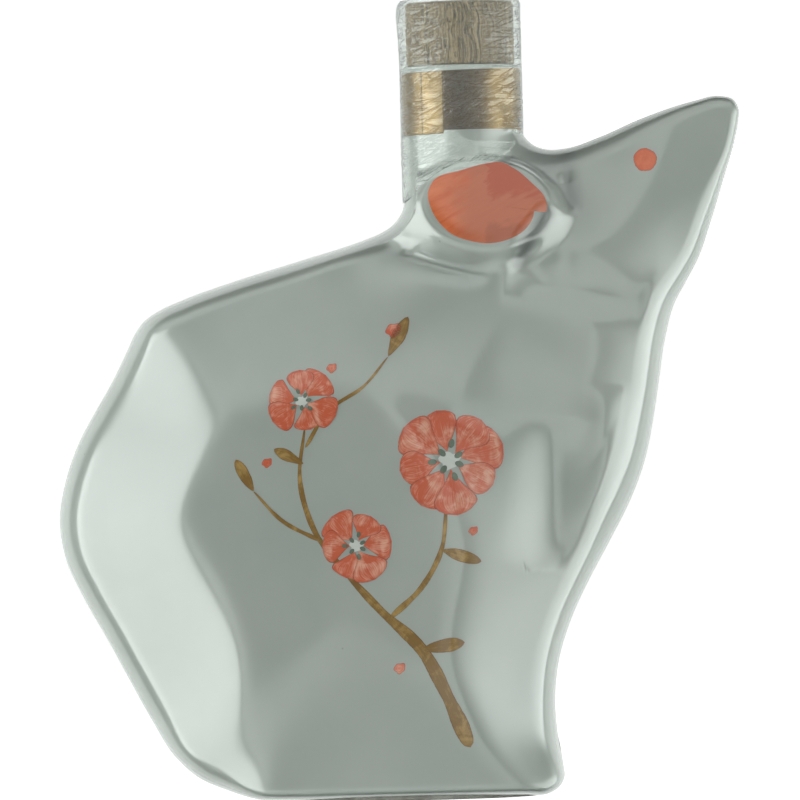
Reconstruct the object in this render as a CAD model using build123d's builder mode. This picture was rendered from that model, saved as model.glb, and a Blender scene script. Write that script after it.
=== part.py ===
"""A figural porcelain liquor decanter: a seated mouse with a corked neck behind its ear.

Sizes are in millimetres. The origin is on the table under the middle of the bottle, Z is up,
the snout points to +X, and the bottle is the same on both sides of the XZ plane.
"""
from build123d import *
import os

os.makedirs("parts", exist_ok=True)

# Bottle: the overall sizes that the tables of shares below follow
BODY_LENGTH = 172.5       # rump to tip of snout
BODY_HEIGHT = 173.5       # table to brow
HALF_DEPTH = 29.5         # middle plane to flank
HAUNCH_DEPTH = 29.5       # middle plane to the flat haunch facet that the flank is cut to
WALL = 4.5                # cast porcelain
FOOT_RING = 5.0           # width of the unglazed ring that the bottle stands on
FOOT_RECESS = 1.2         # depth of the bare bottom inside that ring

# Neck
NECK_X = 16.8             # axis of the neck, from the middle of the bottle
NECK_RADIUS = 14.75
NECK_FLARE = 11.0         # radius of the hollow curve at the neck's foot
FLARE_SWEEP = 66.0        # degrees of that curve, down to the slope of the back
FLARE_STEPS = 3           # short cones that make that curve
FLARE_TOP_Z = 148.0       # where that curve starts on the straight neck
LIP_Z = 182.3             # top of the lip
LIP_CHAMFER = 0.7
BORE_RADIUS = 9.8
BORE_LENGTH = 64.0        # lip to the top of the belly
BORE_CHAMFER = 0.6
CHAMFER_ANGLE = 45.0

# Ears
EAR_X = 22.2
EAR_Z = 147.6
EAR_OUT = 22.6            # middle plane to the middle of an ear's face
EAR_LENGTH = 29.5
EAR_WIDTH = 20.5
EAR_TILT = 14.0           # degrees that an ear's face looks up
EAR_TURN = 6.0            # degrees that it looks to the snout
EAR_THICK = 9.0
EAR_FLARE = 3.0           # how much wider the ear is, all round, where it meets the neck
EAR_RIM = 1.3             # bare rim round the painted hollow of the ear
EAR_HOLLOW = 0.6
EAR_CHAMFER = 0.4

# Stopper
CORK_CLEARANCE = 0.05     # cork to bore, all round
CORK_LENGTH = 20.0        # cork below the lip
CORK_CHAMFER = 1.2
CORK_SEAT = 2.0           # depth of the glued seat in the head
HEAD_RADIUS = 13.5
HEAD_HEIGHT = 15.8
HEAD_TOP_CHAMFER = 0.8
HEAD_FOOT_CHAMFER = 0.4
SEAT_GAP = 0.1            # head to lip, and cork to its seat in the head

# Seal tape
TAPE_BOTTOM_Z = 165.2
TAPE_WIDTH = 15.9
TAPE_THICK = 0.15
TAPE_GAP = 0.05           # adhesive under the tape
TAPE_LAP = 24.0           # degrees of the double layer
TAPE_LAP_AT = 240.0       # direction of the middle of the double layer, from +X

# Shrink film
FILM_GAP = 0.3
FILM_THICK = 0.2
FILM_TOP = 0.9            # film above the stopper's head
FILM_EAR_Z = 162.2        # lower edge over the ears
FILM_BROW_Z = 165.0       # lower edge over the brow
FILM_BROW_WIDTH = 4.5     # that edge's reach along X, from the sleeve's front
FILM_TAIL_Z = 148.8       # the long side of the film, at the back of the neck
FILM_TAIL_WIDTH = 5.2     # the long side's reach along X, from the sleeve's back

OVERRUN = 5.0             # how far a cut runs past what it cuts

# Torso: back point and front point of each section, from the foot up.
# X as a share of BODY_LENGTH, Z as a share of BODY_HEIGHT.
TORSO_END_SHARES = [
    ((-0.215, 0.000), (0.209, 0.000)),
    ((-0.303, 0.031), (0.223, 0.020)),
    ((-0.356, 0.081), (0.218, 0.063)),
    ((-0.391, 0.150), (0.212, 0.127)),
    ((-0.441, 0.254), (0.229, 0.219)),
    ((-0.487, 0.346), (0.275, 0.323)),
    ((-0.500, 0.427), (0.330, 0.421)),
    ((-0.478, 0.499), (0.359, 0.507)),
    ((-0.432, 0.582), (0.378, 0.611)),
    ((-0.388, 0.669), (0.400, 0.738)),
    ((-0.348, 0.709), (0.359, 0.876)),
    ((-0.316, 0.726), (0.325, 0.913)),
]

# Where the points of a torso section lie between its ends, and how wide the section is there,
# as a share of HALF_DEPTH, one row for each section.
TORSO_ALONG_SHARES = [0.012, 0.05, 0.15, 0.30, 0.50, 0.66, 0.78, 0.88, 0.95, 0.99]
TORSO_WIDTH_SHARES = [
    [0.18, 0.40, 0.63, 0.80, 0.86, 0.87, 0.86, 0.79, 0.60, 0.27],
    [0.21, 0.47, 0.75, 0.91, 0.93, 0.93, 0.92, 0.86, 0.66, 0.31],
    [0.23, 0.51, 0.79, 0.95, 0.96, 0.96, 0.93, 0.84, 0.63, 0.29],
    [0.24, 0.53, 0.83, 1.01, 1.03, 1.02, 0.98, 0.86, 0.62, 0.29],
    [0.24, 0.53, 0.84, 1.04, 1.07, 1.05, 0.98, 0.82, 0.60, 0.29],
    [0.26, 0.53, 0.82, 1.04, 1.08, 1.03, 0.92, 0.79, 0.62, 0.29],
    [0.29, 0.54, 0.82, 1.03, 1.07, 1.00, 0.88, 0.76, 0.63, 0.29],
    [0.28, 0.53, 0.78, 0.99, 1.03, 0.94, 0.82, 0.75, 0.66, 0.32],
    [0.24, 0.46, 0.70, 0.88, 0.93, 0.91, 0.84, 0.78, 0.66, 0.32],
    [0.20, 0.39, 0.60, 0.77, 0.84, 0.84, 0.79, 0.71, 0.59, 0.28],
    [0.16, 0.34, 0.52, 0.68, 0.75, 0.76, 0.70, 0.60, 0.46, 0.22],
    [0.11, 0.24, 0.38, 0.53, 0.62, 0.64, 0.58, 0.46, 0.33, 0.16],
]

# Head: top point and throat point of each section, from the shoulders to the snout.
HEAD_END_SHARES = [
    ((0.150, 0.921), (0.336, 0.611)),
    ((0.220, 0.925), (0.397, 0.703)),
    ((0.297, 0.945), (0.443, 0.784)),
    ((0.365, 0.970), (0.468, 0.862)),
    ((0.440, 0.995), (0.492, 0.944)),
    ((0.483, 0.998), (0.500, 0.982)),
]
HEAD_ALONG_SHARES = [0.03, 0.12, 0.30, 0.50, 0.70, 0.86, 0.97]
HEAD_WIDTH_SHARES = [
    [0.16, 0.34, 0.50, 0.58, 0.62, 0.57, 0.24],
    [0.16, 0.33, 0.49, 0.56, 0.57, 0.47, 0.22],
    [0.15, 0.29, 0.41, 0.46, 0.46, 0.38, 0.20],
    [0.13, 0.24, 0.32, 0.34, 0.34, 0.29, 0.17],
    [0.09, 0.16, 0.19, 0.20, 0.20, 0.18, 0.11],
    [0.04, 0.06, 0.06, 0.06, 0.06, 0.06, 0.04],
]

# The cavity follows some of these sections, and leaves out those at the foot, at the back and
# at the tip of the snout. As a cast wall thickens in the corners, it has straight sides
# through every other point.
TORSO_CAVITY = (1, 3, 5, 7, 9, 10)
HEAD_CAVITY = (0, 1, 2, 3)
CAVITY_POINTS = slice(1, None, 2)


def end_point(shares):
    """A section's end on the middle plane, in millimetres."""
    return shares[0] * BODY_LENGTH, shares[1] * BODY_HEIGHT


def section(ends, alongs, widths, inset=0.0):
    """One closed section of the bottle, or of its cavity where inset is the wall.

    The section lies in a plane square to the middle plane. The bottle's curve runs from the
    first end along the far side to the second end, and back along the near side. The cavity's
    section joins the same points by straight lines, the wall's thickness further in.
    """
    (x0, z0), (x1, z1) = end_point(ends[0]), end_point(ends[1])
    plane = Plane(origin=(x0, 0, z0), x_dir=(x1 - x0, 0, z1 - z0), z_dir=(z0 - z1, 0, x1 - x0))
    length = Vector(x1 - x0, 0, z1 - z0).length
    inner_length = length - 2 * inset
    points = list(zip(alongs, widths))
    if inset:
        points = points[CAVITY_POINTS]
    flanks = []
    for along, width in points:
        half = width * HALF_DEPTH
        flanks.append((inset + along * inner_length, half * (HALF_DEPTH - inset) / HALF_DEPTH))
    near = [(u, -v) for u, v in reversed(flanks)]
    with BuildSketch(plane) as outline:
        with BuildLine():
            if inset:
                Polyline(*flanks, *near, close=True)
            else:
                Spline((0, 0), *flanks, (length, 0), *near, periodic=True)
        make_face()
    return outline.sketch


def torso_sections(rows=range(len(TORSO_END_SHARES)), inset=0.0):
    """The torso's sections from the foot to the back."""
    return [section(TORSO_END_SHARES[row], TORSO_ALONG_SHARES, TORSO_WIDTH_SHARES[row], inset)
            for row in rows]


def head_sections(rows=range(len(HEAD_END_SHARES)), inset=0.0):
    """The head's sections from the shoulders to the tip of the snout."""
    return [section(HEAD_END_SHARES[row], HEAD_ALONG_SHARES, HEAD_WIDTH_SHARES[row], inset)
            for row in rows]


NECK_AXIS = Axis((NECK_X, 0, 0), (0, 0, 1))
NECK_PROFILE = Plane(origin=(NECK_X, 0, 0), x_dir=(1, 0, 0), z_dir=(0, -1, 0))

# Ear: a thick oval dish on the near side, wider at its root, which is lost in the shoulder
ear_plane = Plane(origin=(EAR_X, -EAR_OUT, EAR_Z), x_dir=(1, 0, 0), z_dir=(0, -1, 0))
ear_plane = ear_plane.rotated((-EAR_TILT, EAR_TURN, 0))
with BuildPart() as ear:
    with BuildSketch(ear_plane):
        Ellipse(EAR_LENGTH / 2, EAR_WIDTH / 2)
    with BuildSketch(ear_plane.offset(-EAR_THICK)):
        Ellipse(EAR_LENGTH / 2 + EAR_FLARE, EAR_WIDTH / 2 + EAR_FLARE)
    loft(ruled=True)
    chamfer(ear.faces().sort_by(Axis.Y)[0].edges(), EAR_CHAMFER)
    with BuildSketch(ear_plane):
        Ellipse(EAR_LENGTH / 2 - EAR_RIM, EAR_WIDTH / 2 - EAR_RIM)
    extrude(amount=-EAR_HOLLOW, mode=Mode.SUBTRACT)

# Cavity: belly, head and bore as one solid, which is cut from the bottle in one go
with BuildPart() as cavity:
    loft(sections=torso_sections(TORSO_CAVITY, WALL), ruled=True)
    loft(sections=head_sections(HEAD_CAVITY, WALL), ruled=True)
    with BuildSketch(Plane.XY.offset(LIP_Z)):
        with Locations((NECK_X, 0)):
            Circle(BORE_RADIUS)
    extrude(amount=-BORE_LENGTH)
    with BuildSketch(Plane.XY.offset(LIP_Z - BORE_CHAMFER)):
        with Locations((NECK_X, 0)):
            Circle(BORE_RADIUS)
    extrude(amount=BORE_CHAMFER, taper=-CHAMFER_ANGLE)

# Bottle: torso, flared neck, two ears and head, hollow inside, with a ring to stand on
with BuildPart() as bottle_body:
    loft(sections=torso_sections(), ruled=True)
    with BuildSketch(NECK_PROFILE):
        with BuildLine():
            flare = CenterArc((NECK_RADIUS + NECK_FLARE, FLARE_TOP_Z), NECK_FLARE, 180, FLARE_SWEEP,
                              mode=Mode.PRIVATE)
            hollow = [flare @ (step / FLARE_STEPS) for step in range(FLARE_STEPS + 1)]
            Polyline((0, hollow[-1].Y), (0, LIP_Z), (NECK_RADIUS - LIP_CHAMFER, LIP_Z),
                     (NECK_RADIUS, LIP_Z - LIP_CHAMFER), *hollow, close=True)
        make_face()
    revolve(axis=NECK_AXIS)
    add([ear.part, ear.part.mirror(Plane.XZ)])
    Box(2 * BODY_LENGTH, 2 * HAUNCH_DEPTH, 2 * BODY_HEIGHT, mode=Mode.INTERSECT)
    loft(sections=head_sections(), ruled=True)
    add(cavity.part, mode=Mode.SUBTRACT)
    extrude(section(TORSO_END_SHARES[0], TORSO_ALONG_SHARES, TORSO_WIDTH_SHARES[0], FOOT_RING),
            amount=FOOT_RECESS, mode=Mode.SUBTRACT)
bottle_body.part.label = "bottle_body"

# Stopper head: a turned wooden cap with a shallow seat for the cork
head_bottom = LIP_Z + SEAT_GAP
with BuildPart() as stopper_head:
    with BuildSketch(Plane.XY.offset(head_bottom)):
        with Locations((NECK_X, 0)):
            Circle(HEAD_RADIUS)
    extrude(amount=HEAD_HEIGHT)
    chamfer(stopper_head.edges().sort_by(Axis.Z)[-1], HEAD_TOP_CHAMFER)
    chamfer(stopper_head.edges().sort_by(Axis.Z)[0], HEAD_FOOT_CHAMFER)
    with BuildSketch(Plane.XY.offset(head_bottom)):
        with Locations((NECK_X, 0)):
            Circle(BORE_RADIUS)
    extrude(amount=CORK_SEAT, mode=Mode.SUBTRACT)
stopper_head.part.label = "stopper_head"

# Stopper cork: fits the bore, and is glued into the head's seat
cork_bottom = LIP_Z - CORK_LENGTH
cork_top = head_bottom + CORK_SEAT - SEAT_GAP
with BuildPart() as stopper_cork:
    with BuildSketch(Plane.XY.offset(cork_bottom)):
        with Locations((NECK_X, 0)):
            Circle(BORE_RADIUS - CORK_CLEARANCE)
    extrude(amount=cork_top - cork_bottom)
    chamfer(stopper_cork.edges().filter_by(GeomType.CIRCLE).sort_by(Axis.Z)[0], CORK_CHAMFER)
stopper_cork.part.label = "stopper_cork"

# Seal tape: one layer round the neck, with a second layer where its end laps over
tape_inner = NECK_RADIUS + TAPE_GAP
lap_outer = tape_inner + 2 * TAPE_THICK
with BuildPart() as seal_tape:
    with BuildSketch(Plane.XY.offset(TAPE_BOTTOM_Z)):
        with Locations((NECK_X, 0)):
            Circle(tape_inner + TAPE_THICK)
            Circle(tape_inner, mode=Mode.SUBTRACT)
    extrude(amount=TAPE_WIDTH)
    with BuildSketch(Plane(origin=(NECK_X, 0, TAPE_BOTTOM_Z))):
        with BuildLine():
            CenterArc((0, 0), lap_outer, TAPE_LAP_AT - TAPE_LAP / 2, TAPE_LAP)
            CenterArc((0, 0), tape_inner + TAPE_THICK / 2, TAPE_LAP_AT - TAPE_LAP / 2, TAPE_LAP)
            start = TAPE_LAP_AT - TAPE_LAP / 2
            for angle in (start, start + TAPE_LAP):
                Line(Vector(lap_outer, 0).rotate(Axis.Z, angle),
                     Vector(tape_inner + TAPE_THICK / 2, 0).rotate(Axis.Z, angle))
        make_face()
    extrude(amount=TAPE_WIDTH)
seal_tape.part.label = "seal_tape"

# Clear film: an open sleeve over the stopper and the neck, longer at the back of the neck
film_inner = lap_outer + FILM_GAP
film_outer = film_inner + FILM_THICK
film_top = head_bottom + HEAD_HEIGHT + FILM_TOP
with BuildPart() as clear_film:
    with BuildSketch(Plane.XY.offset(FILM_TAIL_Z)):
        with Locations((NECK_X, 0)):
            Circle(film_outer)
            Circle(film_inner, mode=Mode.SUBTRACT)
    extrude(amount=film_top - FILM_TAIL_Z)
    ear_cut = NECK_X - film_outer + FILM_TAIL_WIDTH
    brow_cut = NECK_X + film_outer - FILM_BROW_WIDTH
    right = NECK_X + film_outer + OVERRUN
    bottom = FILM_TAIL_Z - OVERRUN
    with BuildSketch(Plane.XZ):
        with BuildLine():
            Polyline((ear_cut, bottom), (ear_cut, FILM_EAR_Z), (brow_cut, FILM_EAR_Z),
                     (brow_cut, FILM_BROW_Z), (right, FILM_BROW_Z), (right, bottom), close=True)
        make_face()
    extrude(amount=film_outer + OVERRUN, both=True, mode=Mode.SUBTRACT)
clear_film.part.label = "clear_film"

for piece in (bottle_body, stopper_head, stopper_cork, seal_tape, clear_film):
    export_step(piece.part, f"parts/{piece.part.label}.step")
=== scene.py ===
"""Looks of a figural porcelain decanter: a seated mouse with a corked neck behind its ear.

Lengths are millimetres in the CAD model's frame: the origin on the table under the middle of the
bottle, X to the snout, Z up, and the near side at negative Y. Meshes become metres when made.
"""

import bmesh
import bpy
import numpy as np
from mathutils import Matrix


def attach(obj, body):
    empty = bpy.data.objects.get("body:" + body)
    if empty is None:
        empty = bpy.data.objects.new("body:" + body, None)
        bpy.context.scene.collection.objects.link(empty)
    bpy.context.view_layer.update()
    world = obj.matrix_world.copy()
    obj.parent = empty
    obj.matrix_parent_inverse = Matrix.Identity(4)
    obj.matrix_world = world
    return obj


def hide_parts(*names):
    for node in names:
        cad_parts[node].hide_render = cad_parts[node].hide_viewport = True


MM = 0.001

# The edge of the body along its silhouette: how far in it is round, how deep it is there, how
# much deeper it gets per millimetre further in, and the power of its round profile.
EDGES = {
    "neck": (14.75, 14.75, 0.0, 2.0),
    "nape": (8.0, 14.5, 0.45, 2.0),
    "back": (5.5, 17.5, 0.30, 2.2),
    "rump": (7.0, 12.5, 0.50, 2.0),
    "heel": (6.0, 18.0, 0.45, 2.4),
    "base": (4.0, 27.0, 0.06, 4.0),
    "toe": (4.0, 20.0, 0.20, 2.6),
    "shin": (7.0, 15.5, 0.46, 2.2),
    "chest": (7.5, 14.5, 0.42, 2.0),
    "throat": (5.0, 10.0, 0.28, 2.0),
    "nose": (4.5, 6.0, 0.27, 2.0),
    "brow": (5.5, 8.5, 0.28, 2.0),
    "crotch": (7.0, 10.0, 0.42, 2.0),
}

# Silhouette on the middle plane, from the back of the neck down, round the body and up to its front
OUTLINE = [
    ("neck", [(2.05, 166.0), (2.05, 161.0), (2.05, 156.0), (2.05, 151.0)]),
    ("nape", [(1.35, 146.4), (-1.0, 143.1), (-4.3, 141.0)]),
    ("back", [(-8.1, 139.5), (-23.5, 134.9), (-40.3, 130.1), (-54.4, 125.4), (-60.4, 122.8),
              (-64.0, 120.3)]),
    ("rump", [(-66.4, 117.0), (-68.2, 113.3), (-71.9, 106.0), (-76.3, 98.6), (-80.7, 90.8),
              (-84.3, 81.3), (-86.1, 71.3), (-84.8, 61.3), (-80.4, 51.2), (-74.9, 41.0),
              (-69.7, 30.9), (-64.4, 20.8)]),
    ("heel", [(-58.8, 11.6), (-52.4, 5.8), (-45.8, 2.9)]),
    ("base", [(-38.5, 0.8), (-30.0, 0.4), (-15.0, 0.4), (0.0, 0.4), (15.0, 0.4), (28.0, 0.4),
              (34.6, 0.5)]),
    ("toe", [(37.2, 2.0), (38.5, 4.2), (38.3, 7.4)]),
    ("shin", [(37.3, 13.3), (36.7, 23.3), (37.9, 33.3), (41.1, 43.2), (45.9, 53.1)]),
    ("chest", [(51.4, 62.9), (56.7, 72.8), (60.6, 82.7), (62.9, 92.7), (64.6, 102.6), (66.3, 112.6),
               (68.9, 121.6)]),
    ("throat", [(72.0, 127.2), (75.1, 132.8), (78.6, 142.3), (81.8, 152.2), (84.9, 162.1)]),
    ("nose", [(85.9, 166.8), (86.1, 169.9), (84.9, 172.2), (81.0, 173.3)]),
    ("brow", [(75.0, 172.2), (61.4, 168.0), (51.3, 163.8), (42.6, 161.1)]),
    ("crotch", [(38.2, 160.9), (34.8, 162.0), (32.6, 164.0)]),
    ("neck", [(31.55, 166.0)]),
]
FINE_SAMPLES = 4000       # points of the silhouette's curve before it is thinned
BODY_COLUMNS = 400        # points that are kept of it
OUTLINE_SPACING = 1.3     # about how far apart they stand where the silhouette is straight
CURVE_CROWDING = 5.0      # how much closer they stand where it bends
NECK_COLUMNS = 40         # columns across the cut at the foot of the neck's lathed part
BODY_RINGS = 110          # rings between the silhouette and the star's centre
STAR_CENTRE = (17.0, 130.0)
PARAMETER_REACH = 4.0     # over how much of the silhouette an edge's numbers are averaged

# Neck and lip
NECK_X = 16.8
NECK_RADIUS = 14.75
NECK_RING_Z = 166.0
LIP_Z = 182.3
BORE_RADIUS = 9.8
BORE_FLOOR_Z = 119.0

# Haunch: a flat plateau. Each row has a point of its outline, the fall per millimetre outside it
# there, and how far the turn between the two is spread.
HALF_DEPTH = 29.3
HAUNCH = [
    (-35.5, -2.0, 0.50, 3.0), (-40.0, 15.2, 0.50, 2.5), (-46.0, 30.6, 0.50, 2.0),
    (-50.6, 47.4, 0.50, 2.0), (-55.8, 62.0, 0.50, 2.0), (-57.2, 70.5, 0.50, 2.0),
    (-54.6, 78.5, 0.46, 2.0), (-49.6, 89.4, 0.42, 2.0), (-42.0, 99.0, 0.40, 1.6),
    (-33.5, 104.2, 0.38, 1.6), (-23.7, 106.0, 0.37, 1.6), (-11.0, 101.2, 0.35, 1.8),
    (1.5, 90.7, 0.36, 2.4), (11.4, 77.7, 0.42, 4.0), (16.0, 61.1, 0.46, 6.0),
    (18.4, 45.7, 0.46, 8.0), (20.5, 30.4, 0.44, 8.0), (25.2, 17.6, 0.40, 8.0), (33.0, -2.0, 0.34, 8.0),
]
HAUNCH_SAMPLES = 200
HAUNCH_REACH = 24.0       # how far out the falls from the plateau level off
FORM_BLEND = 2.5          # over what height the edge, the plateau and the head's wedge join

# Head: a wedge that is thin at the snout and thicker along its own axis
SNOUT = (86.0, 172.0)
HEAD_AXIS = (0.713, 0.701)
SNOUT_DEPTH = 4.2
HEAD_TAPER = 0.265

# Ear: a raised oval, slightly domed, on a plane that looks up and a little to the snout
EAR_CENTRE = (22.3, 147.3)
EAR_HALF_LENGTH = 15.6
EAR_HALF_WIDTH = 10.5
EAR_SLANT = -4.8          # degrees by which its long axis rises to the snout
EAR_OUT = 22.4            # middle plane to the middle of its face
EAR_LOOKS_UP = 14.0       # degrees
EAR_LOOKS_FORWARD = 6.0   # degrees
EAR_DOME = 0.7            # how far its middle stands out
EAR_DOME_INSET = 0.6      # how far inside its edge the dome starts
EAR_DOME_REACH = 2.2      # and over what distance it rises
EAR_WALL = 1.25           # fall per millimetre outside the oval, below its long axis
EAR_TOP_WALL = 7.0        # and at its top, where the film covers it
EAR_ROUNDING = 1.6        # radius of the turn from face to wall
EAR_BLEND = 3.2           # over what height its wall joins the flank
EAR_CLEARANCE = 3.0       # silhouette to the nearest point that the ear may raise

RELIEF_INSET = 9.0        # how far from the silhouette the reliefs below have their full height
# Soft reliefs on the flank: start, end, half width and height of each ridge, or valley if negative
RELIEFS = [
    ((37.8, 146.4), (28.4, 130.4), 2.3, -0.6),
    ((39.2, 145.0), (40.4, 127.0), 3.8, 0.35),
    ((42.4, 164.0), (42.6, 144.0), 2.4, -1.1),
    ((-8.0, 137.0), (24.0, 129.6), 2.8, -1.5),
    ((27.0, 131.0), (62.0, 122.0), 6.0, -1.7),
    ((33.5, 56.0), (39.5, 94.0), 7.0, -2.1),
    ((49.0, 60.0), (54.0, 102.0), 6.5, 2.1),
    ((18.0, 106.0), (50.0, 88.0), 9.0, 0.9),
]

# Painted shade darkening the glaze along its creases: start, end, half width and strength of each hollow
PAINTED_SHADE_LINES = [
    ((38.2, 147.6), (28.6, 130.6), 1.9, 0.72),
    ((-5.0, 136.0), (22.0, 130.6), 2.6, 0.32),
    ((42.2, 164.0), (42.6, 146.0), 2.2, 0.25),
]


def smooth_curve(points, shares):
    """Cubic Hermite curve through points, at shares of its chord length.

    The tangent at a point is the mean of its two chords' directions, each weighted by the
    length of the other chord. Extra columns of points are carried along the same way.
    """
    points = np.asarray(points, float)
    steps = np.diff(points, axis=0)
    chords = np.linalg.norm(steps[:, :2], axis=1)
    knots = np.concatenate([[0.0], np.cumsum(chords)])
    slopes = steps / chords[:, None]
    tangents = np.empty_like(points)
    tangents[0], tangents[-1] = slopes[0], slopes[-1]
    weighted = slopes[:-1] * chords[1:, None] + slopes[1:] * chords[:-1, None]
    tangents[1:-1] = weighted / (chords[1:] + chords[:-1])[:, None]
    along = np.asarray(shares) * knots[-1]
    span = np.clip(np.searchsorted(knots, along, side="right") - 1, 0, len(chords) - 1)
    length = chords[span][:, None]
    t = ((along - knots[span]) / chords[span])[:, None]
    start = (1 + 2 * t) * (1 - t) ** 2 * points[span] + t * (1 - t) ** 2 * length * tangents[span]
    end = t ** 2 * (3 - 2 * t) * points[span + 1] + t ** 2 * (t - 1) * length * tangents[span + 1]
    return start + end


def even_samples(curve, count, crowding):
    """Points of a fine curve, spaced evenly by length plus crowding times the angle turned."""
    steps = np.diff(curve[:, :2], axis=0)
    lengths = np.linalg.norm(steps, axis=1)
    angles = np.unwrap(np.arctan2(steps[:, 1], steps[:, 0]))
    turned = np.concatenate([[0.0], np.abs(np.diff(angles))])
    cost = np.concatenate([[0.0], np.cumsum(lengths + crowding * OUTLINE_SPACING * turned)])
    wanted = np.linspace(0.0, cost[-1], count)
    columns = [np.interp(wanted, cost, curve[:, k]) for k in range(curve.shape[1])]
    return np.stack(columns, axis=1)


outline_rows = [(x, z, *EDGES[edge]) for edge, points in OUTLINE for x, z in points]
fine_outline = smooth_curve(outline_rows, np.linspace(0, 1, FINE_SAMPLES))
outline = even_samples(fine_outline, BODY_COLUMNS, CURVE_CROWDING)
haunch_rows = smooth_curve(HAUNCH + HAUNCH[:1], np.linspace(0, 1, HAUNCH_SAMPLES))

BATCH = 3000              # points measured against a line at a time, to save memory


def near_line(points, line, reach):
    """Distances from points to a line of segments, and its other columns averaged near by.

    Gives the least distance, the mean distance and the mean of each further column, with the
    weight of a segment falling off as exp(-(its distance - the least distance) / reach).
    """
    start, end = line[:-1, :2], line[1:, :2]
    step = end - start
    length = np.linalg.norm(step, axis=1)
    columns = (line[:-1, 2:] + line[1:, 2:]) / 2
    least, mean, carried = [], [], []
    for part in np.array_split(points, max(1, len(points) // BATCH)):
        offset = part[:, None, :] - start[None]
        share = np.clip((offset * step).sum(-1) / length ** 2, 0, 1)
        away = offset - share[..., None] * step
        distance = np.sqrt((away ** 2).sum(-1))
        low = distance.min(1)
        weight = np.exp((low[:, None] - distance) / reach) * length
        weight /= weight.sum(1, keepdims=True)
        least.append(low)
        mean.append((weight * distance).sum(1))
        carried.append(weight @ columns)
    return np.concatenate(least), np.concatenate(mean), np.concatenate(carried)


def inside(points, ring):
    """Whether points lie inside a closed ring: a ray to +X crosses it an odd number of times."""
    x, z = points[:, 0, None], points[:, 1, None]
    x0, z0, x1, z1 = ring[:-1, 0], ring[:-1, 1], ring[1:, 0], ring[1:, 1]
    spans = (z0 > z) != (z1 > z)
    rise = np.where(z1 == z0, 1.0, z1 - z0)
    return ((spans & (x < x0 + (z - z0) * (x1 - x0) / rise)).sum(1) % 2) == 1


def lower_of(a, b, spread):
    """The lower of two heights, with the corner between them rounded over spread."""
    t = np.clip(0.5 + (b - a) / (2 * spread), 0, 1)
    return b + (a - b) * t - spread * t * (1 - t)


def higher_of(a, b, spread):
    """The higher of two heights, with the corner between them filled over spread."""
    return -lower_of(-a, -b, spread)


def ridge(points, start, end, half_width):
    """A ridge of height 1 along a segment, bell-shaped across it: exp(-(distance / half width)^2).

    It rises from nothing at both ends, as 1 - (2 share - 1)^4.
    """
    start, end = np.array(start), np.array(end)
    step = end - start
    share = np.clip(((points - start) @ step) / (step @ step), 0, 1)
    distance = np.linalg.norm(points - start - share[:, None] * step, axis=1)
    return np.exp(-(distance / half_width) ** 2) * (1 - (2 * share - 1) ** 4)


def ear_frame(points):
    """Place in the ear's own oval: along, across, and the signed distance to its edge."""
    slant = np.radians(EAR_SLANT)
    x, z = points[:, 0] - EAR_CENTRE[0], points[:, 1] - EAR_CENTRE[1]
    along = x * np.cos(slant) + z * np.sin(slant)
    across = z * np.cos(slant) - x * np.sin(slant)
    ratio = np.maximum(np.hypot(along / EAR_HALF_LENGTH, across / EAR_HALF_WIDTH), 1e-9)
    reach = np.maximum(np.hypot(along, across) / ratio, EAR_HALF_WIDTH)
    return along, across, (ratio - 1) * reach


def ear_height(points):
    """The ear's face: a tilted plane, domed inside its oval and falling off steeply outside.

    Outside, it falls as wall (sqrt(distance^2 + rounding^2) - rounding), steeper at the top.
    """
    _, across, signed = ear_frame(points)
    plane = (EAR_OUT - np.tan(np.radians(EAR_LOOKS_UP)) * (points[:, 1] - EAR_CENTRE[1])
             - np.tan(np.radians(EAR_LOOKS_FORWARD)) * (points[:, 0] - EAR_CENTRE[0]))
    dome = EAR_DOME * (1 - np.exp(np.minimum(signed + EAR_DOME_INSET, 0) / EAR_DOME_REACH))
    outside = np.maximum(signed, 0)
    wall = EAR_WALL + (EAR_TOP_WALL - EAR_WALL) * np.clip(across / EAR_HALF_WIDTH, 0, 1)
    return plane + dome - wall * (np.sqrt(outside ** 2 + EAR_ROUNDING ** 2) - EAR_ROUNDING)


def flank(points):
    """Half the bottle's depth at points (x, z) of the middle plane.

    It is the lowest of the edge's round profile, the haunch's plateau with its falls, and the
    head's wedge, with the ear laid over it and soft reliefs added. With t the share of the edge's
    rounding passed, the profile is (1 - (1 - t)^power)^(1 / power) times the depth there.
    """
    points = np.asarray(points, float)
    least, mean, edge = near_line(points, outline, PARAMETER_REACH)
    rounding, depth, slope, power = edge.T
    inner = 1 - np.minimum(least, rounding) / rounding
    profile = (1 - inner ** power) ** (1 / power)
    height = profile * (depth + slope * mean)
    distance, _, falls = near_line(points, haunch_rows, PARAMETER_REACH)
    signed = np.where(inside(points, haunch_rows), -distance, distance)
    fall, spread = falls.T
    outward = (signed + np.sqrt(signed ** 2 + spread ** 2)) / 2
    plateau = HALF_DEPTH - fall * HAUNCH_REACH * (1 - np.exp(-outward / HAUNCH_REACH))
    height = lower_of(height, plateau, FORM_BLEND)
    toward = (SNOUT[0] - points[:, 0]) * HEAD_AXIS[0] + (SNOUT[1] - points[:, 1]) * HEAD_AXIS[1]
    height = lower_of(height, SNOUT_DEPTH + HEAD_TAPER * np.maximum(toward, 0), FORM_BLEND)
    eared = higher_of(height, ear_height(points), EAR_BLEND)
    height = np.where(least < EAR_CLEARANCE, height, eared)
    inner_part = np.clip(least / RELIEF_INSET, 0, 1) ** 2
    for start, end, half_width, rise in RELIEFS:
        height = height + rise * inner_part * ridge(points, start, end, half_width)
    return height


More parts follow.
